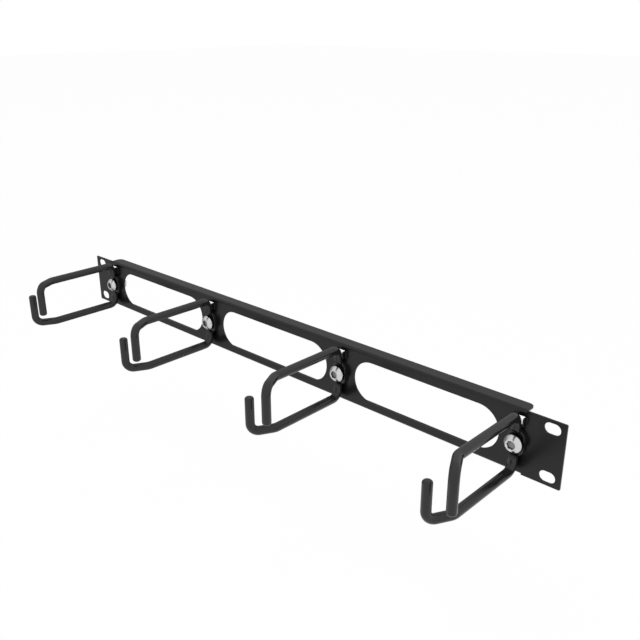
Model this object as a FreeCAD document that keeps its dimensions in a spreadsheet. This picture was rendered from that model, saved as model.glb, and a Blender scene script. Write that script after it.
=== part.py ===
import FreeCAD, Part
import math
import os
import Sketcher
from FreeCAD import Placement, Rotation, Vector

# Horizontal cable manager, 19 inch, one rack unit: a folded steel panel that carries four
# bent-rod cable rings, each held by a low domed socket screw, two washers and a nut.
# X runs along the panel, Y backwards into the rack, Z up. The origin is the centre of the
# four ear slots on the back face of the ears, where the manager meets the rack's rails.

DOC = FreeCAD.newDocument("CableManager")

# ---------------------------------------------------------------- driving dimensions, mm
SIZES = [
    # panel
    ("panel_width", 482.6),
    ("ear_width", 25.3),
    ("panel_height", 43.0),
    ("sheet_gauge", 1.0),
    ("fold_depth", 10.2),
    ("fold_inner_radius", 1.2),
    ("fold_corner", 4.0),
    ("ear_corner", 0.8),
    # slots in the ears, on the rack's hole pattern, 465.1 apart across the panel
    ("slot_inset", 8.75),
    ("rack_pitch_high", 31.75),
    ("slot_length", 10.4),
    ("slot_height", 7.2),
    # where the rings sit: inner pair from the middle of the panel, outer pair from its ends
    ("ring_inner", 71.3),
    ("ring_inset", 29.8),
    # long openings midway between the rings
    ("ring_to_opening", 12.5),
    ("opening_height", 30.1),
    # pair of lugs, lanced out of the panel, that keep a ring from turning
    ("lug_side_clearance", 0.6),
    ("lug_reach", 3.1),
    ("lug_low", 11.5),
    ("lug_high", 17.3),
    ("lug_bend", 0.4),
    ("lug_corner", 1.2),
    # ring of round rod
    ("rod_diameter", 6.2),
    ("arm_height", 18.6),
    ("back_bend", 6.0),
    ("kink_reach", 64.4),
    ("kink_bend", 8.3),
    ("hook_run", 15.1),
    ("front_offset", 8.0),
    ("hook_bend", 6.3),
    ("free_end_level", -7.0),
    ("end_round", 0.9),
    # pressed eye in the middle of the ring
    ("eye_gauge", 2.4),
    ("eye_width", 11.4),
    ("eye_half_length", 5.7),
    ("eye_shoulder", 2.8),
    ("press_half_length", 6.8),
    ("press_rise", 3.2),
    ("eye_edge", 0.4),
    # fasteners
    ("bolt_diameter", 6.0),
    ("bolt_hole", 6.6),
    ("bolt_length", 14.0),
    ("bolt_tip", 0.8),
    ("head_diameter", 12.0),
    ("head_height", 3.1),
    ("head_dome", 6.4),
    ("head_rim", 0.5),
    ("head_flat", 7.0),
    ("socket_flats", 5.0),
    ("socket_depth", 2.2),
    ("front_washer_diameter", 12.0),
    ("rear_washer_diameter", 12.0),
    ("washer_bore", 6.4),
    ("front_washer_gauge", 2.2),
    ("rear_washer_gauge", 1.6),
    ("washer_edge", 0.25),
    ("nut_flats", 10.0),
    ("nut_height", 5.0),
    ("thread_clearance", 0.1),
]

sheet = DOC.addObject("Spreadsheet::Sheet", "Sizes")
V = {}
for row, (alias, value) in enumerate(SIZES, start=1):
    sheet.set("A%d" % row, alias)
    sheet.set("B%d" % row, repr(value))
    sheet.setAlias("B%d" % row, alias)
    V[alias] = value
DOC.recompute()


# ---------------------------------------------------------------- small helpers
class Size:
    """A length that knows its number and the sheet expression that gives it."""

    def __init__(self, value, text):
        self.value = value
        self.text = text

    def __add__(self, other):
        return Size(self.value + other.value, "(%s + %s)" % (self.text, other.text))

    def __sub__(self, other):
        return Size(self.value - other.value, "(%s - %s)" % (self.text, other.text))

    def __neg__(self):
        return Size(-self.value, "(-1 * %s)" % self.text)

    def times(self, factor):
        return Size(self.value * factor, "(%s * %r)" % (self.text, factor))


def size(alias):
    return Size(V[alias], "Sizes." + alias)


def number(value):
    return Size(float(value), repr(float(value)))


ZERO = number(0)
PANEL_FACE = -size("sheet_gauge")
PANEL_END = size("panel_width").times(0.5)
FOLD_END = PANEL_END - size("ear_width")
AXIS_HEIGHT = size("panel_height").times(0.5)
RING_OUTER = PANEL_END - size("ring_inset")
RING_STATIONS = (size("ring_inner"), RING_OUTER)
WASHER_FACE = PANEL_FACE - size("eye_gauge") - size("front_washer_gauge")


def new_body(name):
    body = DOC.addObject("PartDesign::Body", name)
    body.Label = name
    return body


def origin_item(body, role):
    for feature in body.Origin.OriginFeatures:
        if feature.Role == role:
            return feature
    return None


def new_sketch(body, name, plane, lift=None, turn=None, turn_axis=None):
    """Empty sketch on one of the body's own origin planes, lifted or turned by sheet sizes."""
    sketch = body.newObject("Sketcher::SketchObject", name)
    sketch.AttachmentSupport = [(origin_item(body, plane), "")]
    sketch.MapMode = "FlatFace"
    if turn is not None:
        sketch.AttachmentOffset = Placement(Vector(0, 0, 0), Rotation(turn_axis, turn.value))
        sketch.setExpression("AttachmentOffset.Rotation.Angle", turn.text)
    if lift is not None:
        sketch.setExpression("AttachmentOffset.Base.z", lift.text)
    return sketch


def bind(sketch, name, constraint, text):
    """Add one dimensional constraint under a name and tie it to the sheet."""
    index = sketch.addConstraint(constraint)
    sketch.renameConstraint(index, name)
    sketch.setExpression("Constraints." + name, text)


def at(sketch, tag, geo, point, x, y):
    """Tie a point of the sketch to two sizes, measured from the sketch's origin."""
    for kind, word, length, axis in (("DistanceX", "_x", x, -2), ("DistanceY", "_y", y, -1)):
        if abs(length.value) < 1e-9:
            sketch.addConstraint(Sketcher.Constraint("PointOnObject", geo, point, axis))
        elif length.value > 0:
            bind(sketch, tag + word,
                 Sketcher.Constraint(kind, -1, 1, geo, point, length.value), length.text)
        else:
            bind(sketch, tag + word,
                 Sketcher.Constraint(kind, geo, point, -1, 1, -length.value), (-length).text)


def line(sketch, x1, y1, x2, y2):
    return sketch.addGeometry(
        Part.LineSegment(Vector(x1, y1, 0), Vector(x2, y2, 0)), False)


def polygon(sketch, tag, corners):
    """Closed straight-sided outline through corners given as pairs of sizes."""
    count = len(corners)
    sides = []
    for i in range(count):
        a = corners[i]
        b = corners[(i + 1) % count]
        sides.append(line(sketch, a[0].value, a[1].value, b[0].value, b[1].value))
    for i in range(count):
        sketch.addConstraint(
            Sketcher.Constraint("Coincident", sides[i], 2, sides[(i + 1) % count], 1))
    for i in range(count):
        at(sketch, "%s%d" % (tag, i), sides[i], 1, corners[i][0], corners[i][1])
    return sides


def circle(sketch, tag, x, y, diameter):
    geo = sketch.addGeometry(
        Part.Circle(Vector(x.value, y.value, 0), Vector(0, 0, 1), diameter.value / 2), False)
    at(sketch, tag, geo, 3, x, y)
    bind(sketch, tag + "_d", Sketcher.Constraint("Diameter", geo, diameter.value), diameter.text)
    return geo


def arc(sketch, x, y, radius, start, end):
    """Arc of a circle, angles in degrees, anticlockwise."""
    ring = Part.Circle(Vector(x, y, 0), Vector(0, 0, 1), radius)
    return sketch.addGeometry(
        Part.ArcOfCircle(ring, math.radians(start), math.radians(end)), False)


def tangent(sketch, a, a_point, b, b_point):
    sketch.addConstraint(Sketcher.Constraint("Tangent", a, a_point, b, b_point))


def obround(sketch, tag, x, y, length, height):
    """Slot with round ends lying along the sketch's X."""
    r = height.value / 2
    left = x - length.times(0.5) + height.times(0.5)
    right = x + length.times(0.5) - height.times(0.5)
    top = line(sketch, right.value, y.value + r, left.value, y.value + r)
    end_left = arc(sketch, left.value, y.value, r, 90, 270)
    low = line(sketch, left.value, y.value - r, right.value, y.value - r)
    end_right = arc(sketch, right.value, y.value, r, -90, 90)
    tangent(sketch, top, 2, end_left, 1)
    tangent(sketch, end_left, 2, low, 1)
    tangent(sketch, low, 2, end_right, 1)
    tangent(sketch, end_right, 2, top, 1)
    bind(sketch, tag + "_r", Sketcher.Constraint("Radius", end_left, r), height.times(0.5).text)
    at(sketch, tag + "_left", end_left, 3, left, y)
    bind(sketch, tag + "_run", Sketcher.Constraint("DistanceX", end_left, 3, end_right, 3,
                                                   right.value - left.value),
         (right - left).text)
    sketch.addConstraint(Sketcher.Constraint("Horizontal", top))


def pad(body, name, sketch, length, backwards=False, middle=False):
    feature = body.newObject("PartDesign::Pad", name)
    feature.Profile = sketch
    feature.Reversed = backwards
    feature.Midplane = middle
    feature.setExpression("Length", length.text)
    return feature


def pocket(body, name, sketch, length, middle=True):
    feature = body.newObject("PartDesign::Pocket", name)
    feature.Profile = sketch
    feature.Midplane = middle
    feature.setExpression("Length", length.text)
    return feature


def pipe(body, name, section, path):
    """Sweep a section sketch along a path sketch, joined to what the body already has."""
    feature = body.newObject("PartDesign::AdditivePipe", name)
    feature.Profile = section
    feature.Spine = (path, ["Edge%d" % (i + 1) for i in range(path.GeometryCount)])
    return feature


def mirror(body, name, original):
    """The same feature on the other half of the part, across X = 0."""
    feature = body.newObject("PartDesign::Mirrored", name)
    feature.Originals = [original]
    feature.MirrorPlane = (origin_item(body, "YZ_Plane"), [""])
    body.Tip = feature
    return feature


def pick(shape, test):
    """Names of the edges that pass a test on the edge and its middle point."""
    names = []
    for index, edge in enumerate(shape.Edges, start=1):
        middle = edge.valueAt((edge.FirstParameter + edge.LastParameter) / 2)
        if test(edge, middle):
            names.append("Edge%d" % index)
    return names


def dress(body, kind, name, base, edges, length):
    """Fillet or chamfer on chosen edges."""
    feature = body.newObject("PartDesign::" + kind, name)
    feature.Base = (base, edges)
    feature.setExpression("Radius" if kind == "Fillet" else "Size", length.text)
    return feature


def near(a, b, slack=0.05):
    return abs(a - b) < slack


def straight(edge, axis):
    """True for a straight edge along one axis."""
    if edge.Curve.TypeId != "Part::GeomLine":
        return False
    direction = edge.Curve.Direction
    return abs(getattr(direction, axis)) > 0.999


# ---------------------------------------------------------------- panel
def make_panel():
    """Front wall with a return fold along each long edge, flat ears beyond the folds."""
    body = new_body("panel")
    t = size("sheet_gauge")
    high = size("panel_height")
    deep = size("fold_depth")
    outer = size("fold_inner_radius") + t
    inner = size("fold_inner_radius")
    level = AXIS_HEIGHT

    # channel section, seen from the end
    channel = new_sketch(body, "ChannelSection", "YZ_Plane")
    h, d, r, q, g = high.value, deep.value, outer.value, inner.value, t.value
    front = line(channel, 0, r, 0, h - r)
    bend_t = arc(channel, r, h - r, r, 90, 180)
    top = line(channel, r, h, d, h)
    lip_t = line(channel, d, h, d, h - g)
    under = line(channel, d, h - g, r, h - g)
    bend_ti = arc(channel, r, h - r, q, 90, 180)
    back = line(channel, g, h - r, g, r)
    bend_li = arc(channel, r, r, q, 180, 270)
    over = line(channel, r, g, d, g)
    lip_l = line(channel, d, g, d, 0)
    low = line(channel, d, 0, r, 0)
    bend_l = arc(channel, r, r, r, 180, 270)
    tangent(channel, front, 2, bend_t, 2)
    tangent(channel, bend_t, 1, top, 1)
    channel.addConstraint(Sketcher.Constraint("Coincident", top, 2, lip_t, 1))
    channel.addConstraint(Sketcher.Constraint("Coincident", lip_t, 2, under, 1))
    tangent(channel, under, 2, bend_ti, 1)
    tangent(channel, bend_ti, 2, back, 1)
    tangent(channel, back, 2, bend_li, 1)
    tangent(channel, bend_li, 2, over, 1)
    channel.addConstraint(Sketcher.Constraint("Coincident", over, 2, lip_l, 1))
    channel.addConstraint(Sketcher.Constraint("Coincident", lip_l, 2, low, 1))
    tangent(channel, low, 2, bend_l, 2)
    tangent(channel, bend_l, 1, front, 1)
    channel.addConstraint(Sketcher.Constraint("Vertical", lip_t))
    channel.addConstraint(Sketcher.Constraint("Vertical", lip_l))
    at(channel, "bend_top", bend_t, 3, outer, high - outer)
    at(channel, "bend_low", bend_l, 3, outer, outer)
    channel.addConstraint(Sketcher.Constraint("Coincident", bend_ti, 3, bend_t, 3))
    channel.addConstraint(Sketcher.Constraint("Coincident", bend_li, 3, bend_l, 3))
    bind(channel, "outer_top", Sketcher.Constraint("Radius", bend_t, r), outer.text)
    bind(channel, "outer_low", Sketcher.Constraint("Radius", bend_l, r), outer.text)
    bind(channel, "inner_top", Sketcher.Constraint("Radius", bend_ti, q), inner.text)
    bind(channel, "inner_low", Sketcher.Constraint("Radius", bend_li, q), inner.text)
    at(channel, "lip_top", top, 2, deep, high)
    at(channel, "lip_low", low, 1, deep, ZERO)
    pad(body, "Channel", channel, FOLD_END.times(2), middle=True)

    # flat sheet behind both ears, running under the channel's front wall
    flat = new_sketch(body, "FlatSheet", "XZ_Plane")
    polygon(flat, "ear", [(FOLD_END, ZERO), (PANEL_END, ZERO), (PANEL_END, high),
                          (FOLD_END, high)])
    ear = pad(body, "Ear", flat, t, backwards=True)
    mirror(body, "EarPair", ear)

    # slots in the ears
    slots = new_sketch(body, "EarSlots", "XZ_Plane")
    for tag, z in (("upper", level + size("rack_pitch_high").times(0.5)),
                   ("lower", level - size("rack_pitch_high").times(0.5))):
        obround(slots, tag, PANEL_END - size("slot_inset"), z,
                size("slot_length"), size("slot_height"))
    cut = pocket(body, "EarSlotCut", slots, t.times(4))
    mirror(body, "EarSlotPair", cut)

    # three long openings
    opening = new_sketch(body, "LongOpening", "XZ_Plane")
    pitch = (size("ring_inner") + RING_OUTER).times(0.5)
    length = RING_OUTER - size("ring_inner") - size("ring_to_opening").times(2)
    obround(opening, "opening", -pitch, level, length, size("opening_height"))
    cut = pocket(body, "LongOpeningCut", opening, t.times(4))
    row = body.newObject("PartDesign::LinearPattern", "LongOpenings")
    row.Originals = [cut]
    row.Direction = (origin_item(body, "X_Axis"), [""])
    row.setExpression("Length", pitch.times(2).text)
    row.Occurrences = 3
    body.Tip = row

    # bolt holes
    holes = new_sketch(body, "BoltHoles", "XZ_Plane")
    for name, x in zip(("inner", "outer"), RING_STATIONS):
        circle(holes, name, x, level, size("bolt_hole"))
    cut = pocket(body, "BoltHoleCut", holes, t.times(4))
    mirror(body, "BoltHoleRow", cut)

    # window left by each pair of lugs
    gap = size("rod_diameter").times(0.5) + size("lug_side_clearance")
    root_line = gap + t + size("lug_bend")
    windows = new_sketch(body, "LugWindows", "XZ_Plane")
    z_low = level + size("lug_low")
    z_high = level + size("lug_high")
    for name, x in zip(("inner", "outer"), RING_STATIONS):
        polygon(windows, name,
                [(x - root_line, z_low), (x + root_line, z_low),
                 (x + root_line, z_high), (x - root_line, z_high)])
    cut = pocket(body, "LugWindowCut", windows, t.times(4))
    mirror(body, "LugWindowRow", cut)

    # lugs, bent forward out of the windows; the section is drawn looking down
    lugs = new_sketch(body, "LugSections", "XY_Plane", lift=z_low)
    for name, x in zip(("inner", "outer"), RING_STATIONS):
        for side in (-1, 1):
            lug_section(lugs, name + "lr"[side > 0], x, side, gap, t)
    rise = pad(body, "Lugs", lugs, size("lug_high") - size("lug_low"))
    DOC.recompute()
    tip_y = -size("lug_reach").value
    corners = pick(rise.Shape, lambda e, m: straight(e, "x") and near(m.y, tip_y))
    rounded = dress(body, "Fillet", "LugCorners", rise, corners, size("lug_corner"))
    mirror_lugs = body.newObject("PartDesign::Mirrored", "LugRow")
    mirror_lugs.Originals = [rise, rounded]
    mirror_lugs.MirrorPlane = (origin_item(body, "YZ_Plane"), [""])
    body.Tip = mirror_lugs
    DOC.recompute()

    # rounded rear corners of the folds, eased corners of the ears
    edges = pick(mirror_lugs.Shape, lambda e, m: straight(e, "z")
                 and near(abs(m.x), FOLD_END.value)
                 and near(m.y, V["fold_depth"]))
    base = dress(body, "Fillet", "FoldCorners", mirror_lugs, edges, size("fold_corner"))
    DOC.recompute()
    edges = pick(base.Shape, lambda e, m: straight(e, "y")
                 and near(abs(m.x), PANEL_END.value))
    dress(body, "Fillet", "EarCorners", base, edges, size("ear_corner"))
    place(body, ZERO, PANEL_FACE, -level)
    return body


def lug_section(sketch, tag, x, side, gap, t):
    """Bent strip: from inside the wall, round the bend, out in front of the panel."""
    bend = size("lug_bend")
    reach = size("lug_reach")
    buried = number(0.4)

    def across(length):
        return x + length if side > 0 else x - length

    inner = across(gap)
    outer = across(gap + t)
    root = across(gap + t + bend)
    deep = across(gap + t + bend + buried)
    b = bend.value
    big = b + t.value
    inner_line = line(sketch, inner.value, -b, inner.value, -reach.value)
    tip = line(sketch, inner.value, -reach.value, outer.value, -reach.value)
    outer_line = line(sketch, outer.value, -reach.value, outer.value, -b)
    if side > 0:
        small_arc = arc(sketch, root.value, -b, b, 90, 180)
        big_arc = arc(sketch, root.value, -b, big, 90, 180)
    else:
        small_arc = arc(sketch, root.value, -b, b, 0, 90)
        big_arc = arc(sketch, root.value, -b, big, 0, 90)
    front = line(sketch, root.value, 0, deep.value, 0)
    end = line(sketch, deep.value, 0, deep.value, t.value)
    back = line(sketch, deep.value, t.value, root.value, t.value)
    wall_side, lug_side = (1, 2) if side > 0 else (2, 1)
    join = Sketcher.Constraint
    sketch.addConstraint(join("Coincident", inner_line, 2, tip, 1))
    sketch.addConstraint(join("Coincident", tip, 2, outer_line, 1))
    tangent(sketch, outer_line, 2, small_arc, lug_side)
    tangent(sketch, small_arc, wall_side, front, 1)
    sketch.addConstraint(join("Coincident", front, 2, end, 1))
    sketch.addConstraint(join("Coincident", end, 2, back, 1))
    tangent(sketch, back, 2, big_arc, wall_side)
    tangent(sketch, big_arc, lug_side, inner_line, 1)
    sketch.addConstraint(join("Coincident", small_arc, 3, big_arc, 3))
    at(sketch, tag + "in", tip, 1, inner, -reach)
    at(sketch, tag + "out", tip, 2, outer, -reach)
    at(sketch, tag + "centre", small_arc, 3, root, -bend)
    at(sketch, tag + "end", end, 1, deep, ZERO)
    bind(sketch, tag + "t", join("Radius", big_arc, big), (bend + t).text)
    sketch.addConstraint(join("Vertical", end))


# ---------------------------------------------------------------- rings
def make_ring(name, station):
    """Round rod bent to a ring whose two free ends pass each other and leave a gate.

    The ring's own origin is the bolt axis on the panel's face. Turning the ring half a
    turn about that axis gives the same ring, so only one half is drawn.
    """
    body = new_body(name)
    rod = size("rod_diameter")
    back = rod.times(0.5)
    arm = size("arm_height")
    bend = size("back_bend")
    kink = size("kink_reach")
    run_x = V["front_offset"]
    run_y = V["hook_run"]
    turn = math.degrees(math.atan2(run_x, run_y))
    slant = Size(turn, "(atan2(Sizes.front_offset; Sizes.hook_run) / 1 deg)")
    ease = Size(V["kink_bend"] * math.tan(math.radians(turn / 2)),
                "(Sizes.kink_bend * tan((%s) * 0.5 * 1 deg))" % slant.text)
    length = Size(math.hypot(run_x, run_y),
                  "sqrt(Sizes.front_offset ^ 2 + Sizes.hook_run ^ 2)")
    start = kink - ease

    # middle: back of the ring with both arms, in the plane of the bolt axis
    section = new_sketch(body, "RodSection", "XZ_Plane", lift=start)
    circle(section, "rod", ZERO, arm, rod)
    saddle = new_sketch(body, "SaddlePath", "YZ_Plane")
    y, z, r = -back.value, arm.value, bend.value
    upper = line(saddle, -start.value, z, y - r, z)
    turn_u = arc(saddle, y - r, z - r, r, 0, 90)
    spine = line(saddle, y, z - r, y, -z + r)
    turn_l = arc(saddle, y - r, -z + r, r, -90, 0)
    lower = line(saddle, y - r, -z, -start.value, -z)
    tangent(saddle, upper, 2, turn_u, 2)
    tangent(saddle, turn_u, 1, spine, 1)
    tangent(saddle, spine, 2, turn_l, 2)
    tangent(saddle, turn_l, 1, lower, 1)
    at(saddle, "start", upper, 1, -start, arm)
    at(saddle, "finish", lower, 2, -start, -arm)
    at(saddle, "upper", turn_u, 3, -(back + bend), arm - bend)
    at(saddle, "lower", turn_l, 3, -(back + bend), bend - arm)
    bind(saddle, "bend_u", Sketcher.Constraint("Radius", turn_u, r), bend.text)
    bind(saddle, "bend_l", Sketcher.Constraint("Radius", turn_l, r), bend.text)
    pipe(body, "Saddle", section, saddle)

    # kink to the side near the front, level with the arm
    side = new_sketch(body, "KinkPath", "XY_Plane", lift=arm)
    big = size("kink_bend")
    kink_arc = arc(side, big.value, -start.value, big.value, 180, 180 + turn)
    at(side, "centre", kink_arc, 3, big, -start)
    side.addConstraint(Sketcher.Constraint("PointOnObject", kink_arc, 1, -2))
    side.addConstraint(Sketcher.Constraint("DistanceY", kink_arc, 1, -1, 1, start.value))
    side.renameConstraint(side.ConstraintCount - 1, "begin")
    side.setExpression("Constraints.begin", start.text)
    drop = Size(kink.value + ease.value * math.cos(math.radians(turn)),
                "(Sizes.kink_reach + %s * cos((%s) * 1 deg))" % (ease.text, slant.text))
    bind(side, "finish", Sketcher.Constraint("DistanceY", kink_arc, 2, -1, 1, drop.value), drop.text)
    kink_pipe = pipe(body, "Kink", section, side)

    # hook: on along the slant, then down to the free end
    end = new_sketch(body, "EndSection", "XY_Plane", lift=size("free_end_level"))
    circle(end, "rod", size("front_offset"), -(kink + size("hook_run")), rod)
    hook = new_sketch(body, "HookPath", "XZ_Plane", lift=kink,
                      turn=slant - number(90), turn_axis=Vector(0, 1, 0))
    tight = size("hook_bend")
    u, w = length.value, tight.value
    down = line(hook, u, V["free_end_level"], u, z - w)
    hook_arc = arc(hook, u - w, z - w, w, 0, 90)
    along = line(hook, u - w, z, ease.value, z)
    tangent(hook, down, 2, hook_arc, 1)
    tangent(hook, hook_arc, 2, along, 1)
    at(hook, "end", down, 1, length, size("free_end_level"))
    at(hook, "centre", hook_arc, 3, length - tight, arm - tight)
    at(hook, "join", along, 2, ease, arm)
    bind(hook, "bend", Sketcher.Constraint("Radius", hook_arc, w), tight.text)
    hook_pipe = pipe(body, "Hook", end, hook)

    # the other half, by half a turn about the bolt axis
    other = body.newObject("PartDesign::PolarPattern", "OtherHalf")
    other.Originals = [kink_pipe, hook_pipe]
    other.Axis = (origin_item(body, "Y_Axis"), [""])
    other.Angle = 360
    other.Occurrences = 2
    body.Tip = other
    DOC.recompute()

    # rounded free ends
    tip_z = abs(V["free_end_level"])
    rims = pick(other.Shape, lambda e, m: near(abs(m.z), tip_z) and near(
        e.BoundBox.ZLength, 0) and m.y < -kink.value)
    rounded = dress(body, "Fillet", "EndRounding", other, rims, size("end_round"))

    # front of the rod pressed flat over the eye
    press = new_sketch(body, "PressedFlat", "YZ_Plane")
    gauge = size("eye_gauge")
    low = size("press_half_length")
    high = low + size("press_rise")
    clear = rod + number(1)
    polygon(press, "press", [(-gauge, -low), (-rod, -high), (-clear, -high),
                             (-clear, high), (-rod, high), (-gauge, low)])
    pocket(body, "Pressing", press, rod.times(3))

    # the eye itself, spread wider than the rod
    eye = new_sketch(body, "EyeOutline", "XZ_Plane")
    wide = size("eye_width").times(0.5)
    half = size("eye_half_length")
    tall = half + size("eye_shoulder")
    slim = back - number(0.3)
    polygon(eye, "eye", [(slim, tall), (wide, half), (wide, -half), (slim, -tall),
                         (-slim, -tall), (-wide, -half), (-wide, half), (-slim, tall)])
    plate = pad(body, "Eye", eye, gauge)
    DOC.recompute()
    shoulders = pick(plate.Shape, lambda e, m: straight(e, "y") and near(abs(m.x), wide.value))
    softened = dress(body, "Fillet", "EyeShoulders", plate, shoulders, size("eye_shoulder"))
    DOC.recompute()
    front_rim = pick(softened.Shape, lambda e, m: near(m.y, -gauge.value, 0.01)
                     and near(e.BoundBox.YLength, 0) and near(abs(m.x), wide.value, 1.2))
    dress(body, "Fillet", "EyeEdge", softened, front_rim, size("eye_edge"))

    bore = new_sketch(body, "EyeBore", "XZ_Plane")
    circle(bore, "bore", ZERO, ZERO, size("bolt_hole"))
    pocket(body, "EyeBoreCut", bore, rod.times(3))
    place(body, station, PANEL_FACE, ZERO)
    return body


def place(body, x, y, z):
    body.setExpression("Placement.Base.x", x.text)
    body.setExpression("Placement.Base.y", y.text)
    body.setExpression("Placement.Base.z", z.text)


# ---------------------------------------------------------------- fasteners
def revolve(body, name, sketch, feature="PartDesign::Revolution"):
    """Full turn about the body's Y axis, which is the bolt axis."""
    turned = body.newObject(feature, name)
    turned.Profile = sketch
    turned.ReferenceAxis = (origin_item(body, "Y_Axis"), [""])
    turned.Angle = 360
    return turned


def make_screw(name, station):
    """Domed socket screw; local Y = 0 is the underside of the head, Y forwards is -."""
    body = new_body(name)
    rim = size("head_diameter").times(0.5)
    shank = size("bolt_diameter").times(0.5)
    flat = size("head_flat").times(0.5)
    tall = size("head_height")
    lip = size("head_rim")
    length = size("bolt_length")
    tip = size("bolt_tip")
    half = new_sketch(body, "ScrewHalfSection", "XY_Plane")
    x0, x1, x2 = flat.value, rim.value, shank.value
    y0, y1 = -tall.value, -lip.value
    # dome: one arc from the flat face out to the rim
    chord = math.hypot(x1 - x0, y1 - y0)
    rise = math.sqrt(V["head_dome"] ** 2 - chord ** 2 / 4)
    cx = (x0 + x1) / 2 - rise * (y1 - y0) / chord
    cy = (y0 + y1) / 2 + rise * (x1 - x0) / chord
    begin = math.degrees(math.atan2(y0 - cy, x0 - cx))
    finish = math.degrees(math.atan2(y1 - cy, x1 - cx))
    dome = arc(half, cx, cy, V["head_dome"], begin, finish)
    at_flat, at_rim = 1, 2
    face = line(half, 0, y0, x0, y0)
    side = line(half, x1, y1, x1, 0)
    under = line(half, x1, 0, x2, 0)
    body_side = line(half, x2, 0, x2, length.value - tip.value)
    chamfer = line(half, x2, length.value - tip.value, x2 - tip.value, length.value)
    point = line(half, x2 - tip.value, length.value, 0, length.value)
    axis = line(half, 0, length.value, 0, y0)
    join = Sketcher.Constraint
    half.addConstraint(join("Coincident", face, 2, dome, at_flat))
    half.addConstraint(join("Coincident", dome, at_rim, side, 1))
    chain = [side, under, body_side, chamfer, point, axis, face]
    for a, b in zip(chain[:-1], chain[1:]):
        half.addConstraint(join("Coincident", a, 2, b, 1))
    at(half, "face", face, 2, flat, -tall)
    at(half, "rim", side, 1, rim, -lip)
    at(half, "seat", side, 2, rim, ZERO)
    at(half, "neck", under, 2, shank, ZERO)
    at(half, "tip", body_side, 2, shank, length - tip)
    at(half, "point", chamfer, 2, shank - tip, length)
    at(half, "end", point, 2, ZERO, length)
    at(half, "middle", axis, 2, ZERO, -tall)
    bind(half, "dome", join("Radius", dome, V["head_dome"]), "Sizes.head_dome")
    revolve(body, "Screw", half)

    # hexagon socket
    socket = new_sketch(body, "SocketHexagon", "XZ_Plane", lift=tall)
    hexagon(socket, size("socket_flats"))
    pocket(body, "Socket", socket, size("socket_depth"), middle=False)
    place(body, station, WASHER_FACE, ZERO)
    return body


def hexagon(sketch, flats):
    """Regular hexagon about the sketch's origin, two corners on its vertical axis."""
    reach = flats.times(1 / math.sqrt(3))
    half = flats.times(0.5)
    low = reach.times(0.5)
    return polygon(sketch, "hex", [(ZERO, reach), (-half, low), (-half, -low),
                                   (ZERO, -reach), (half, -low), (half, low)])


def make_washer(name, station, place_word, y):
    """Flat washer; place_word is front or rear and picks its diameter and gauge."""
    body = new_body(name)
    outside = size(place_word + "_washer_diameter")
    disc = new_sketch(body, "WasherOutline", "XZ_Plane")
    circle(disc, "outside", ZERO, ZERO, outside)
    circle(disc, "bore", ZERO, ZERO, size("washer_bore"))
    plate = pad(body, "Washer", disc, size(place_word + "_washer_gauge"), backwards=True)
    DOC.recompute()
    rims = pick(plate.Shape, lambda e, m: near(e.BoundBox.YLength, 0)
                and near(math.hypot(m.x, m.z), outside.value / 2))
    dress(body, "Chamfer", "WasherRim", plate, rims, size("washer_edge"))
    place(body, station, y, ZERO)
    return body


def make_nut(name, station, y):
    """Hexagon nut, both faces chamfered round the corners."""
    body = new_body(name)
    flats = size("nut_flats")
    tall = size("nut_height")
    shape = new_sketch(body, "NutHexagon", "XZ_Plane")
    hexagon(shape, flats)
    circle(shape, "bore", ZERO, ZERO, size("bolt_diameter") + size("thread_clearance").times(2))
    pad(body, "Nut", shape, tall, backwards=True)

    # the cone that turns the six corners away
    cone = new_sketch(body, "CornerCone", "XY_Plane")
    start = flats.times(0.5) - number(0.1)
    far = flats.times(0.7)
    fall = Size((far.value - start.value) * math.tan(math.radians(30)),
                "((%s - %s) * tan(30 deg))" % (far.text, start.text))
    polygon(cone, "front", [(start, ZERO), (far, fall), (far, -fall), (start, -fall)])
    revolve(body, "FrontCorners", cone, "PartDesign::Groove")
    cone_b = new_sketch(body, "CornerConeRear", "XY_Plane")
    polygon(cone_b, "rear", [(start, tall), (start, tall + fall), (far, tall + fall),
                             (far, tall - fall)])
    revolve(body, "RearCorners", cone_b, "PartDesign::Groove")
    place(body, station, y, ZERO)
    return body


# ---------------------------------------------------------------- assembly
STATIONS = [
    -RING_OUTER,
    -size("ring_inner"),
    size("ring_inner"),
    RING_OUTER,
]
bodies = [make_panel()]
for index, station in enumerate(STATIONS, start=1):
    bodies.append(make_ring("ring_%d" % index, station))
    bodies.append(make_washer("front_washer_%d" % index, station, "front", WASHER_FACE))
    bodies.append(make_screw("screw_%d" % index, station))
    bodies.append(make_washer("rear_washer_%d" % index, station, "rear", ZERO))
    bodies.append(make_nut("nut_%d" % index, station, size("rear_washer_gauge")))

DOC.recompute()

# ---------------------------------------------------------------- checks and output
for item in DOC.Objects:
    for word in ("Invalid", "Error"):
        if word in item.State:
            raise RuntimeError("%s is %s" % (item.Name, word))
os.makedirs("parts", exist_ok=True)
for body in bodies:
    if body.Shape.isNull() or not body.Shape.isValid():
        raise RuntimeError(body.Label + " has no valid shape")
    if len(body.Shape.Solids) != 1:
        raise RuntimeError("%s has %d solids" % (body.Label, len(body.Shape.Solids)))
    body.Shape.exportStep("parts/%s.step" % body.Label)
    box = body.Shape.BoundBox
    print("%-16s %8.1f mm3  X %7.2f %7.2f  Y %7.2f %6.2f  Z %6.2f %6.2f" % (
        body.Label, body.Shape.Volume, box.XMin, box.XMax, box.YMin, box.YMax,
        box.ZMin, box.ZMax))
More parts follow.
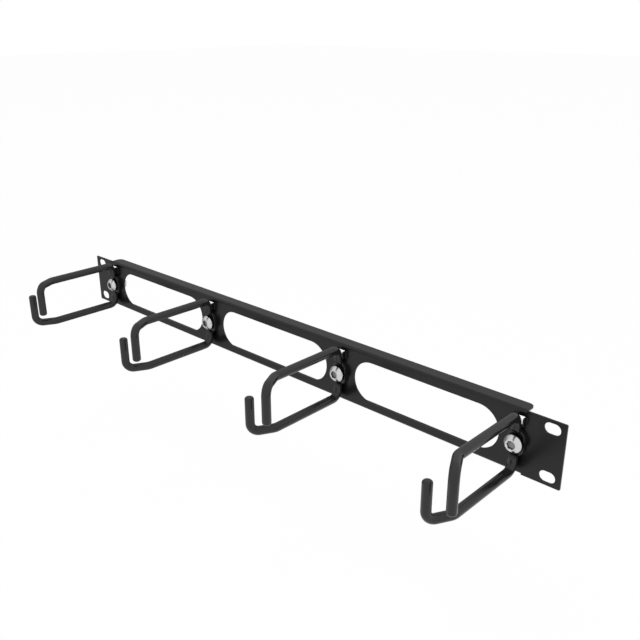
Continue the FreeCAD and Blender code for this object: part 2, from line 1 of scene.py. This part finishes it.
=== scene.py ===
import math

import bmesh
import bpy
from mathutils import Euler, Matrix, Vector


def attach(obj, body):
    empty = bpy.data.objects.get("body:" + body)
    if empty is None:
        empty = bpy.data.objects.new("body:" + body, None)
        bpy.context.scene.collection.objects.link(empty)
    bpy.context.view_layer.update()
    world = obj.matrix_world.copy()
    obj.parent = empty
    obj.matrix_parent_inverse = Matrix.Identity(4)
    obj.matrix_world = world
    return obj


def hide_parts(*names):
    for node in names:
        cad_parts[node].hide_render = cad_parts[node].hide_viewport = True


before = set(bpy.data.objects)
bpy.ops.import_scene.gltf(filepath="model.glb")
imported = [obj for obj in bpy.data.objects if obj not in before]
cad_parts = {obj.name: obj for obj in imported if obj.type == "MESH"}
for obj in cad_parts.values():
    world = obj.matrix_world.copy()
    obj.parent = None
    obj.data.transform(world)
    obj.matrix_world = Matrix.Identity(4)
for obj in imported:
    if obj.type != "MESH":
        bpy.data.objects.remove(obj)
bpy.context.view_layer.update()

# Rack cable manager: a folded steel panel and four bent-rod cable rings, all black powder
# coat, each ring held by a bright domed socket screw over a black washer, with a zinc
# washer and nut behind. Everything is in metres and in the frame of the solids: X along the
# panel, Y into the rack, Z up. The panel, washers and nuts are the solids themselves. The
# rings are copies of theirs with the ends rounded further, and the screws are made anew where
# theirs stand.

MM = 0.001


# ---------------------------------------------------------------- shading helpers
def srgb(hex_colour):
    """Linear RGBA of a colour written as sRGB hex."""
    channels = [int(hex_colour[i:i + 2], 16) / 255 for i in (1, 3, 5)]
    linear = [c / 12.92 if c <= 0.04045 else ((c + 0.055) / 1.055) ** 2.4 for c in channels]
    return (*linear, 1.0)


def add(tree, kind, links=None, inputs=None, **settings):
    """Add one node: its settings, its fixed inputs and the sockets that feed it."""
    node = tree.nodes.new(kind)
    for key, value in settings.items():
        setattr(node, key, value)
    for key, value in (inputs or {}).items():
        node.inputs[key].default_value = value
    for key, socket in (links or {}).items():
        tree.links.new(socket, node.inputs[key])
    return node


def new_material(name):
    """Empty node material and its tree."""
    material = bpy.data.materials.new(name)
    material.use_nodes = True
    material.node_tree.nodes.clear()
    return material, material.node_tree


def waves_per_metre(size_mm):
    """Noise scale whose bumps are about this many millimetres across."""
    return 1.0 / (size_mm * MM)


# ---------------------------------------------------------------- finishes
NOISE_LOW, NOISE_HIGH = 0.3, 0.7     # most of a noise's values lie between these
COAT_CLOUD = 45.0            # mm, how slowly the coat's thickness drifts
COAT_GRAIN = 0.5             # mm; a real coat's is nearer 0.1, drawn coarser so that it shows
COAT_GRAIN_SHARE = 0.25      # depth of the grain over that of the orange peel
COAT_SPREAD = (-0.04, 0.05)  # how far a coat's roughness strays from its own value
PLATE_SPREAD = (-0.05, 0.06)     # and a plate's
PLATE_RELIEF = 0.01          # mm, height of the cloudy patches in a plate


def powder_coat(name, dark, light, roughness, sheen_level, peel_mm, peel_depth_mm):
    """Black polyester powder coat baked on steel.

    The powder melts into a skin with a slow waviness (orange peel) and a fine grain. It is
    almost black in itself, and what the eye sees is the soft mirror of the room on it.
    """
    material, tree = new_material(name)
    place = add(tree, "ShaderNodeTexCoord").outputs["Object"]
    peel = add(tree, "ShaderNodeTexNoise", {"Vector": place},
               {"Scale": waves_per_metre(peel_mm), "Detail": 2.0, "Roughness": 0.45})
    grain = add(tree, "ShaderNodeTexNoise", {"Vector": place},
                {"Scale": waves_per_metre(COAT_GRAIN), "Detail": 2.0, "Roughness": 0.6})
    cloud = add(tree, "ShaderNodeTexNoise", {"Vector": place},
                {"Scale": waves_per_metre(COAT_CLOUD), "Detail": 3.0})
    tint = add(tree, "ShaderNodeMix", {"Factor": cloud.outputs["Fac"]},
               {"A": srgb(dark), "B": srgb(light)}, data_type="RGBA")
    gloss = add(tree, "ShaderNodeMapRange", {"Value": grain.outputs["Fac"]},
                {"From Min": NOISE_LOW, "From Max": NOISE_HIGH,
                 "To Min": roughness + COAT_SPREAD[0], "To Max": roughness + COAT_SPREAD[1]})
    wavy = add(tree, "ShaderNodeBump", {"Height": peel.outputs["Fac"]},
               {"Strength": 1.0, "Distance": peel_depth_mm * MM})
    grainy = add(tree, "ShaderNodeBump",
                 {"Height": grain.outputs["Fac"], "Normal": wavy.outputs["Normal"]},
                 {"Strength": 1.0, "Distance": peel_depth_mm * MM * COAT_GRAIN_SHARE})
    skin = add(tree, "ShaderNodeBsdfPrincipled",
               {"Base Color": tint.outputs["Result"], "Roughness": gloss.outputs["Result"],
                "Normal": grainy.outputs["Normal"]},
               {"IOR": 1.5, "Specular IOR Level": sheen_level})
    add(tree, "ShaderNodeOutputMaterial", {"Surface": skin.outputs["BSDF"]})
    return material


def plated_steel(name, dark, light, roughness, patch_mm):
    """Bright plate on a stamped or headed steel part: a cool metal with faint cloudy patches."""
    material, tree = new_material(name)
    place = add(tree, "ShaderNodeTexCoord").outputs["Object"]
    cloud = add(tree, "ShaderNodeTexNoise", {"Vector": place},
                {"Scale": waves_per_metre(patch_mm), "Detail": 4.0, "Roughness": 0.6})
    tint = add(tree, "ShaderNodeMix", {"Factor": cloud.outputs["Fac"]},
               {"A": srgb(dark), "B": srgb(light)}, data_type="RGBA")
    gloss = add(tree, "ShaderNodeMapRange", {"Value": cloud.outputs["Fac"]},
                {"From Min": NOISE_LOW, "From Max": NOISE_HIGH,
                 "To Min": roughness + PLATE_SPREAD[0],
                 "To Max": roughness + PLATE_SPREAD[1]})
    skin_bump = add(tree, "ShaderNodeBump", {"Height": cloud.outputs["Fac"]},
                    {"Strength": 1.0, "Distance": PLATE_RELIEF * MM})
    skin = add(tree, "ShaderNodeBsdfPrincipled",
               {"Base Color": tint.outputs["Result"], "Roughness": gloss.outputs["Result"],
                "Normal": skin_bump.outputs["Normal"]},
               {"Metallic": 1.0})
    add(tree, "ShaderNodeOutputMaterial", {"Surface": skin.outputs["BSDF"]})
    return material


# Powder coat baked on folded sheet: near black, under a broad, soft grey sheen.
panel_coat = powder_coat("powder_coat_semi_gloss", "#0c0c0c", "#111111",
                         roughness=0.28, sheen_level=0.32, peel_mm=2.2, peel_depth_mm=0.006)
# The same coat on drawn rod, where it flows out smoother: a narrower light follows each bend.
rod_coat = powder_coat("powder_coat_gloss", "#1b1b1b", "#212121",
                       roughness=0.16, sheen_level=0.40, peel_mm=1.8, peel_depth_mm=0.006)
# Headed screw, barrel plated with nickel: a pale, slightly blurred mirror of the room.
bright_screw = plated_steel("nickel_plated_steel", "#cbcbca", "#dadad9", 0.24, patch_mm=2.0)
# Socket cut by a broach: a duller grey, painted shade of the hollow and partly its thinner
# plate, with torn marks that are nearer 0.1 mm on the real one and are drawn coarser so that
# they show.
socket_shade_steel = plated_steel("socket_steel_painted_shade", "#8c8c8c", "#a2a2a2", 0.42, patch_mm=0.6)
# Stamped washers and nuts, zinc plated and passivated clear: a cool, slightly cloudy metal.
zinc_plate = plated_steel("zinc_plated_steel", "#aeb3b8", "#c9cdd1", 0.28, patch_mm=1.5)
# Stamped washer, zinc plated and passivated black: a dark metal with a dull shine.
black_plate = plated_steel("black_zinc_plated_steel", "#1c1c1d", "#262627", 0.35, patch_mm=1.5)

finishes = {
    "panel": panel_coat,
    "ring": rod_coat,
    "screw": bright_screw,
    "front_washer": black_plate,
    "rear_washer": zinc_plate,
    "nut": zinc_plate,
}
for name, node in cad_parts.items():
    kind = name.rstrip("0123456789").rstrip("_")
    for slot in node.material_slots:
        slot.material = finishes[kind]


# ---------------------------------------------------------------- piece helpers
SHARP_ANGLE = math.radians(32)


def mark_sharp(shape):
    """Smooth faces, with a crease where two of them meet at more than the sharp angle."""
    for face in shape.faces:
        face.smooth = True
    for edge in shape.edges:
        meets = len(edge.link_faces) == 2
        edge.smooth = meets and edge.calc_face_angle(0.0) < SHARP_ANGLE


def finish_piece(name, shape, materials, node):
    """Turn a bmesh into a piece that stands for one CAD node."""
    mesh = bpy.data.meshes.new(name)
    shape.to_mesh(mesh)
    shape.free()
    for material in materials:
        mesh.materials.append(material)
    piece = bpy.data.objects.new(name, mesh)
    bpy.context.scene.collection.objects.link(piece)
    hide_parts(node)
    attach(piece, "root")
    return piece


def node_box(name):
    """Smallest and largest corner of a CAD node."""
    points = [vertex.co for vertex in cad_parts[name].data.vertices]
    low = Vector([min(point[i] for point in points) for i in range(3)])
    high = Vector([max(point[i] for point in points) for i in range(3)])
    return low, high


# ---------------------------------------------------------------- cable rings
ROD_RADIUS = 3.1 * MM
TIP_FILLET = 0.9 * MM        # rounding that the solid's rod ends carry
TIP_SHOULDER = 1.5 * MM      # how far the tumbled end rounds in across the rod
TIP_DOME = 1.7 * MM          # and along it
TIP_LEVEL = 7.0 * MM         # height of the free ends above and below the screw
NEAR = 0.002 * MM            # points closer than this share a level
SLACK = 0.02                 # share by which a facet's corner may lie off its round
MERGE_GAP = 0.5e-6           # metres, points closer than this are one point


def tumble_end(shape, up):
    """Round one upright rod end as a tumbling barrel does; up is 1 or -1."""
    tip = [v for v in shape.verts if -NEAR < TIP_LEVEL - up * v.co.z < TIP_FILLET + NEAR]
    front = min(v.co.y for v in tip)
    tip = [v for v in tip if v.co.y < front + 2 * ROD_RADIUS]
    flat = [v.co for v in tip if TIP_LEVEL - up * v.co.z < NEAR]
    middle = sum(flat, Vector()) / len(flat)
    core = ROD_RADIUS - TIP_FILLET
    for vert in tip:
        depth = min(max(TIP_LEVEL - up * vert.co.z, 0.0), TIP_FILLET)
        swing = math.acos(1 - depth / TIP_FILLET)
        reach = Vector((vert.co.x - middle.x, vert.co.y - middle.y, 0))
        if reach.length > ROD_RADIUS * (1 + SLACK):
            continue
        if reach.length > core * (1 - SLACK):
            new_reach = ROD_RADIUS - TIP_SHOULDER * (1 - math.sin(swing))
            reach *= new_reach / reach.length
        else:
            reach *= (ROD_RADIUS - TIP_SHOULDER) / core
        level = up * (TIP_LEVEL - TIP_DOME * (1 - math.cos(swing)))
        vert.co = Vector((middle.x + reach.x, middle.y + reach.y, level))


def dress_ring(number):
    """Cable ring: the solid's own surface with its sawn ends tumbled round."""
    node = f"ring_{number}"
    shape = bmesh.new()
    shape.from_mesh(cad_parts[node].data)
    bmesh.ops.remove_doubles(shape, verts=shape.verts, dist=MERGE_GAP)
    tumble_end(shape, 1)
    tumble_end(shape, -1)
    mark_sharp(shape)
    return finish_piece(f"cable_ring_{number}", shape, [rod_coat], node)


for number in range(1, 5):
    dress_ring(number)

# ---------------------------------------------------------------- socket screws
HEAD_RADIUS = 6.0 * MM
HEAD_HEIGHT = 3.1 * MM
HEAD_LIP = 0.5 * MM
HEAD_DOME = 6.4 * MM
HEAD_FLAT = 3.5 * MM         # radius of the flat face
HEAD_EASE = 0.15 * MM        # rounding of the rim's two corners
SOCKET_FLATS = 5.0 * MM
SOCKET_DEPTH = 2.2 * MM
SOCKET_LEAD = 0.10 * MM      # width of the lead-in cone past the hexagon's corners
LEAD_SLOPE = 0.7             # how steeply that cone falls
FACE_BORDER = 0.1 * MM       # narrow bands that hold the flat face's two edges
FOOT_RISE = 0.1 * MM         # rounding between the socket's walls and its floor: up the wall
FOOT_RUN = 0.15 * MM         # and along the floor
DRILL_RADIUS = 1.2 * MM      # hollow that the drill leaves in the socket's floor
DRILL_RIM = 0.15 * MM        # its depth at that radius
DRILL_POINT = 0.45 * MM      # and in the middle
SHANK_RADIUS = 3.0 * MM
THREAD_ROOT = 2.387 * MM
THREAD_PITCH = 1.0 * MM
SHANK_LENGTH = 14.0 * MM
POINT_CHAMFER = 0.8 * MM
ROOT_FLAT_END = 0.22         # from the middle of the groove to the ridge, as a share of half a
CREST_FLAT_START = 0.88      # pitch: where the flank leaves the root and meets the crest
THREAD_SIDES = 48
ROWS_PER_PITCH = 12
DOME_BANDS = 14
AROUND = 96                  # a multiple of six, so that the corners fall on vertices
# The second slot is the socket's darker grey, which is painted shade of the recess.
PLATED, SHADED_SOCKET = 0, 1      # material slots of a screw


def hexagon_reach(angle):
    """Distance from the middle to a hexagon's side, with a corner at angle 0."""
    turn = angle % math.radians(60) - math.radians(30)
    return SOCKET_FLATS / 2 / math.cos(turn)


def dome_profile():
    """Radius and height of the head's dome, from the rim in to the flat face."""
    rim, face = Vector((HEAD_RADIUS, HEAD_LIP)), Vector((HEAD_FLAT, HEAD_HEIGHT))
    chord = face - rim
    rise = math.sqrt(HEAD_DOME ** 2 - chord.length_squared / 4)
    inwards = Vector((-chord.y, chord.x)).normalized()
    centre = (rim + face) / 2 + inwards * rise
    first, last = rim - centre, face - centre
    begin, end = math.atan2(first.y, first.x), math.atan2(last.y, last.x)
    swing = (end - begin + math.pi) % (2 * math.pi) - math.pi
    spots = [begin + swing * i / DOME_BANDS for i in range(DOME_BANDS + 1)]
    return [(centre.x + HEAD_DOME * math.cos(a), centre.y + HEAD_DOME * math.sin(a))
            for a in spots]


def head_rings():
    """Every ring of the head from its underside in to the socket's floor, and the lowest point.

    Each ring is a function of the angle that gives radius and height over the seat, and the
    material of the band that leads to it.
    """
    def level(radius, height, material=PLATED):
        return (lambda angle: (radius, height), material)

    corner = hexagon_reach(0.0)
    lead = corner + SOCKET_LEAD
    floor_level = HEAD_HEIGHT - SOCKET_DEPTH

    def lead_in(angle):
        reach = hexagon_reach(angle)
        return reach, HEAD_HEIGHT - (lead - reach) * LEAD_SLOPE

    def wall_foot(angle):
        return hexagon_reach(angle), floor_level + FOOT_RISE

    def floor_edge(angle):
        return hexagon_reach(angle) - FOOT_RUN, floor_level

    rings = [level(SHANK_RADIUS, 0), level(HEAD_RADIUS - HEAD_EASE, 0),
             level(HEAD_RADIUS, HEAD_EASE)]
    rings += [level(radius, height) for radius, height in dome_profile()]
    rings += [level(HEAD_FLAT - FACE_BORDER, HEAD_HEIGHT),
              level(lead + FACE_BORDER, HEAD_HEIGHT), level(lead, HEAD_HEIGHT)]
    rings += [(lead_in, PLATED), (wall_foot, SHADED_SOCKET), (floor_edge, SHADED_SOCKET)]
    rings += [level(DRILL_RADIUS, floor_level - DRILL_RIM, SHADED_SOCKET)]
    return rings, floor_level - DRILL_POINT


def add_head(shape, corner_angle):
    """Loft the domed head about the Y axis, its seat at y = 0 and its face towards -Y."""
    rings, drill_point = head_rings()
    bands = []
    for ring, material in rings:
        loop = []
        for i in range(AROUND):
            angle = 2 * math.pi * i / AROUND
            radius, height = ring(angle)
            about = angle + corner_angle
            loop.append(shape.verts.new((radius * math.cos(about), -height,
                                         radius * math.sin(about))))
        bands.append((loop, material))
    for (inner, _), (outer, material) in zip(bands[:-1], bands[1:]):
        for i in range(AROUND):
            j = (i + 1) % AROUND
            face = shape.faces.new((inner[i], outer[i], outer[j], inner[j]))
            face.material_index = material
    for (loop, material), height in ((bands[0], 0.0), (bands[-1], drill_point)):
        pole = shape.verts.new((0, -height, 0))
        for i in range(AROUND):
            j = (i + 1) % AROUND
            corners = (loop[i], loop[j], pole) if height == 0.0 else (loop[j], loop[i], pole)
            shape.faces.new(corners).material_index = material


def thread_tree():
    """Node tree that cuts a helical V thread round a bar that runs along +Y from y = 0."""
    tree = bpy.data.node_groups.new("threaded_shank", "GeometryNodeTree")
    sockets = {}
    for label in ("Length", "Crest Radius", "Root Radius", "Pitch", "Point Chamfer"):
        sockets[label] = tree.interface.new_socket(label, in_out="INPUT",
                                                   socket_type="NodeSocketFloat")
    for label in ("Sides", "Rows"):
        sockets[label] = tree.interface.new_socket(label, in_out="INPUT",
                                                   socket_type="NodeSocketInt")
    sockets["Finish"] = tree.interface.new_socket("Finish", in_out="INPUT",
                                                  socket_type="NodeSocketMaterial")
    tree.interface.new_socket("Shank", in_out="OUTPUT", socket_type="NodeSocketGeometry")
    given = add(tree, "NodeGroupInput").outputs

    bar = add(tree, "GeometryNodeMeshCylinder",
              {"Vertices": given["Sides"], "Side Segments": given["Rows"],
               "Radius": given["Crest Radius"], "Depth": given["Length"]},
              fill_type="TRIANGLE_FAN")
    place = add(tree, "GeometryNodeInputPosition").outputs["Position"]
    split = add(tree, "ShaderNodeSeparateXYZ", {"Vector": place}).outputs
    known = {"x": split["X"], "y": split["Y"], "z": split["Z"], "length": given["Length"],
             "crest": given["Crest Radius"], "root": given["Root Radius"],
             "pitch": given["Pitch"], "chamfer": given["Point Chamfer"]}
    for result, operation, *terms in (
            # where a point lies in its turn of the helix: 0 in mid groove, 1 on the ridge
            ("half_length", "MULTIPLY", "length", 0.5),
            ("from_seat", "ADD", "z", "half_length"),
            ("heading", "ARCTAN2", "y", "x"),
            ("turn", "DIVIDE", "heading", 2 * math.pi),
            ("turns_along", "DIVIDE", "from_seat", "pitch"),
            ("winding", "SUBTRACT", "turns_along", "turn"),
            ("phase", "FRACT", "winding"),
            ("doubled", "MULTIPLY", "phase", 2.0),
            ("centred", "SUBTRACT", "doubled", 1.0),
            ("ridge", "ABSOLUTE", "centred"),
            # 0 along the root, 1 along the crest and straight between them
            ("flank", "MAP_RANGE", "ridge", ROOT_FLAT_END, CREST_FLAT_START),
            # radius there, cut down to a cone at the point, as a share of the bar's
            ("depth", "SUBTRACT", "crest", "root"),
            ("cut", "MULTIPLY_ADD", "flank", "depth", "root"),
            ("to_end", "SUBTRACT", "length", "from_seat"),
            ("blunt", "SUBTRACT", "crest", "chamfer"),
            ("cone", "ADD", "blunt", "to_end"),
            ("radius", "MINIMUM", "cut", "cone"),
            ("share", "DIVIDE", "radius", "crest"),
            ("new_x", "MULTIPLY", "x", "share"),
            ("new_y", "MULTIPLY", "y", "share")):
        fed = {i: known[term] for i, term in enumerate(terms) if isinstance(term, str)}
        fixed = {i: term for i, term in enumerate(terms) if not isinstance(term, str)}
        if operation == "MAP_RANGE":
            node = add(tree, "ShaderNodeMapRange", fed, fixed)
        else:
            node = add(tree, "ShaderNodeMath", fed, fixed, operation=operation)
        known[result] = node.outputs[0]
    spot = add(tree, "ShaderNodeCombineXYZ",
               {"X": known["new_x"], "Y": known["new_y"], "Z": known["from_seat"]})
    threaded = add(tree, "GeometryNodeSetPosition",
                   {"Geometry": bar.outputs["Mesh"], "Position": spot.outputs["Vector"]})
    laid = add(tree, "GeometryNodeTransform", {"Geometry": threaded.outputs["Geometry"]},
               {"Rotation": (-math.pi / 2, 0.0, 0.0)})
    real = add(tree, "GeometryNodeRealizeInstances", {"Geometry": laid.outputs["Geometry"]})
    plated = add(tree, "GeometryNodeSetMaterial",
                 {"Geometry": real.outputs["Geometry"], "Material": given["Finish"]})
    add(tree, "NodeGroupOutput", {"Shank": plated.outputs["Geometry"]})
    return tree, {label: socket.identifier for label, socket in sockets.items()}


def threaded_shank():
    """Plain mesh of the threaded shank, from the node tree."""
    tree, key = thread_tree()
    carrier = bpy.data.objects.new("shank", bpy.data.meshes.new("shank"))
    bpy.context.scene.collection.objects.link(carrier)
    cutter = carrier.modifiers.new("thread", "NODES")
    cutter.node_group = tree
    values = {"Length": SHANK_LENGTH, "Crest Radius": SHANK_RADIUS, "Root Radius": THREAD_ROOT,
              "Pitch": THREAD_PITCH, "Point Chamfer": POINT_CHAMFER, "Sides": THREAD_SIDES,
              "Rows": round(SHANK_LENGTH / THREAD_PITCH * ROWS_PER_PITCH),
              "Finish": bright_screw}
    for label, value in values.items():
        cutter[key[label]] = value
    seen = carrier.evaluated_get(bpy.context.evaluated_depsgraph_get())
    mesh = bpy.data.meshes.new_from_object(seen)
    carrier.modifiers.remove(cutter)
    bpy.data.objects.remove(carrier)
    return mesh


def dress_screw(number, shank, corner_degrees):
    """Domed socket screw: lofted head with a broached hexagon, on a threaded shank."""
    node = f"screw_{number}"
    low, high = node_box(node)
    shape = bmesh.new()
    shape.from_mesh(shank)
    for face in shape.faces:
        face.material_index = PLATED
    add_head(shape, math.radians(corner_degrees))
    seat = Vector(((low.x + high.x) / 2, low.y + HEAD_HEIGHT, (low.z + high.z) / 2))
    bmesh.ops.translate(shape, verts=shape.verts, vec=seat)
    bmesh.ops.recalc_face_normals(shape, faces=shape.faces)
    mark_sharp(shape)
    return finish_piece(f"socket_screw_{number}", shape, [bright_screw, socket_shade_steel], node)


shank = threaded_shank()
KEY_TURNS = (14.0, 41.0, 3.0, -6.0)      # how the key left each hexagon, in degrees
for number, degrees in enumerate(KEY_TURNS, start=1):
    dress_screw(number, shank, degrees)

# ---------------------------------------------------------------- floor and light
DIM_HEADING = (-0.844, 0.447, -0.298)      # low, behind and to the left
CORNER_START = 0.8           # cosine of the angle from that heading at which the corner begins
CORNER_EDGE_LEVEL = 0.52     # how bright the room is there, in a mirror
CORNER_SHARE = 0.15          # what is left of that level in the very corner
ROOM_LEVEL = 0.5             # how strongly the room lights what stands in it
CARD_LIFT = 0.97             # how far the floor is lifted to white; the rest takes the shadow
FLOOR_LEVEL = -0.16
FLOOR_REACH = 8.0


def seen_rays(tree):
    """One for rays that show the surroundings as they look: to the eye, a mirror or glass."""
    ray = add(tree, "ShaderNodeLightPath")
    seen = ray.outputs["Is Camera Ray"]
    for kind in ("Is Glossy Ray", "Is Transmission Ray"):
        seen = add(tree, "ShaderNodeMath", {0: seen, 1: ray.outputs[kind]},
                   operation="MAXIMUM").outputs["Value"]
    return seen


def mirror_level(tree, heading):
    """How bright the room looks that way in a mirror, from 0 to 1; to the eye it is all white.

    It is white on the side away from the dim heading, falls off towards it, and has a dark
    corner there.
    """
    unit = add(tree, "ShaderNodeVectorMath", {0: heading}, operation="NORMALIZE")
    towards = add(tree, "ShaderNodeVectorMath", {0: unit.outputs["Vector"]}, {1: DIM_HEADING},
                  operation="DOT_PRODUCT").outputs["Value"]
    slope = add(tree, "ShaderNodeMapRange", {"Value": towards},
                {"From Min": 0.0, "From Max": CORNER_START,
                 "To Min": 1.0, "To Max": CORNER_EDGE_LEVEL})
    corner = add(tree, "ShaderNodeMapRange", {"Value": towards},
                 {"From Min": CORNER_START, "From Max": 1.0,
                  "To Min": 1.0, "To Max": CORNER_SHARE})
    level = add(tree, "ShaderNodeMath", {0: slope.outputs["Result"],
                                         1: corner.outputs["Result"]}, operation="MULTIPLY")
    mirror = add(tree, "ShaderNodeLightPath").outputs["Is Glossy Ray"]
    return add(tree, "ShaderNodeMapRange", {"Value": mirror, "To Max": level.outputs["Value"]},
               {"To Min": 1.0}).outputs["Result"]


def white_card(name, colour):
    """Matt painted card: pale, lifted to plain white where it is seen, with a faint shadow."""
    material, tree = new_material(name)
    lifted = add(tree, "ShaderNodeMath", {0: seen_rays(tree)}, {1: CARD_LIFT},
                 operation="MULTIPLY")
    place = add(tree, "ShaderNodeTexCoord").outputs["Object"]
    card = add(tree, "ShaderNodeBsdfDiffuse", inputs={"Color": srgb(colour)})
    glow = add(tree, "ShaderNodeEmission", {"Strength": mirror_level(tree, place)},
               {"Color": srgb("#ffffff")})
    mix = add(tree, "ShaderNodeMixShader",
              {"Fac": lifted.outputs["Value"], 1: card.outputs["BSDF"],
               2: glow.outputs["Emission"]})
    add(tree, "ShaderNodeOutputMaterial", {"Surface": mix.outputs["Shader"]})
    return material


floor_mesh = bpy.data.meshes.new("floor")
shape = bmesh.new()
bmesh.ops.create_grid(shape, x_segments=1, y_segments=1, size=FLOOR_REACH)
bmesh.ops.translate(shape, verts=shape.verts, vec=(0, 0, FLOOR_LEVEL))
shape.to_mesh(floor_mesh)
shape.free()
floor = bpy.data.objects.new("floor", floor_mesh)
bpy.context.scene.collection.objects.link(floor)
floor.data.materials.append(white_card("white_card", "#f0f0f0"))

world = bpy.data.worlds.new("studio")
bpy.context.scene.world = world
world.use_nodes = True
sky = world.node_tree
sky.nodes.clear()
heading = add(sky, "ShaderNodeTexCoord").outputs["Generated"]
strength = add(sky, "ShaderNodeMapRange",
               {"Value": seen_rays(sky), "To Max": mirror_level(sky, heading)},
               {"To Min": ROOM_LEVEL})
room = add(sky, "ShaderNodeBackground", {"Strength": strength.outputs["Result"]},
           {"Color": srgb("#ffffff")})
add(sky, "ShaderNodeOutputWorld", {"Surface": room.outputs["Background"]})


def soft_box(name, place, aim, width, height, power):
    """Rectangular lamp that points at a spot on the object and shows in no mirror."""
    lamp = bpy.data.lights.new(name, "AREA")
    lamp.shape = "RECTANGLE"
    lamp.size = width
    lamp.size_y = height
    lamp.energy = power
    holder = bpy.data.objects.new(name, lamp)
    bpy.context.scene.collection.objects.link(holder)
    holder.location = place
    holder.rotation_euler = (Vector(aim) - Vector(place)).to_track_quat("-Z", "Y").to_euler()
    holder.visible_glossy = False


soft_box("key_box", place=(0.2, -0.6, 2.1), aim=(0, 0, 0), width=1.2, height=1.2, power=36.0)

# ---------------------------------------------------------------- camera
SENSOR = 36.0                # mm
LENS_OVER_SENSOR = 1.2103
VIEW_PLACE = (0.40116, -0.37363, 0.23521)
VIEW_AZIMUTH = math.radians(43.207)
VIEW_DROP = math.radians(21.488)
VIEW_ROLL = math.radians(-0.065)
camera_data = bpy.data.cameras.new("camera")
camera_data.sensor_width = SENSOR
camera_data.lens = SENSOR * LENS_OVER_SENSOR
camera = bpy.data.objects.new("camera", camera_data)
bpy.context.scene.collection.objects.link(camera)
turn = Euler((math.pi / 2 - VIEW_DROP, 0.0, VIEW_AZIMUTH)).to_matrix().to_4x4()
camera.matrix_world = (Matrix.Translation(VIEW_PLACE) @ turn
                       @ Matrix.Rotation(VIEW_ROLL, 4, "Z"))
bpy.context.scene.camera = camera
bpy.context.scene.view_settings.view_transform = "Standard"
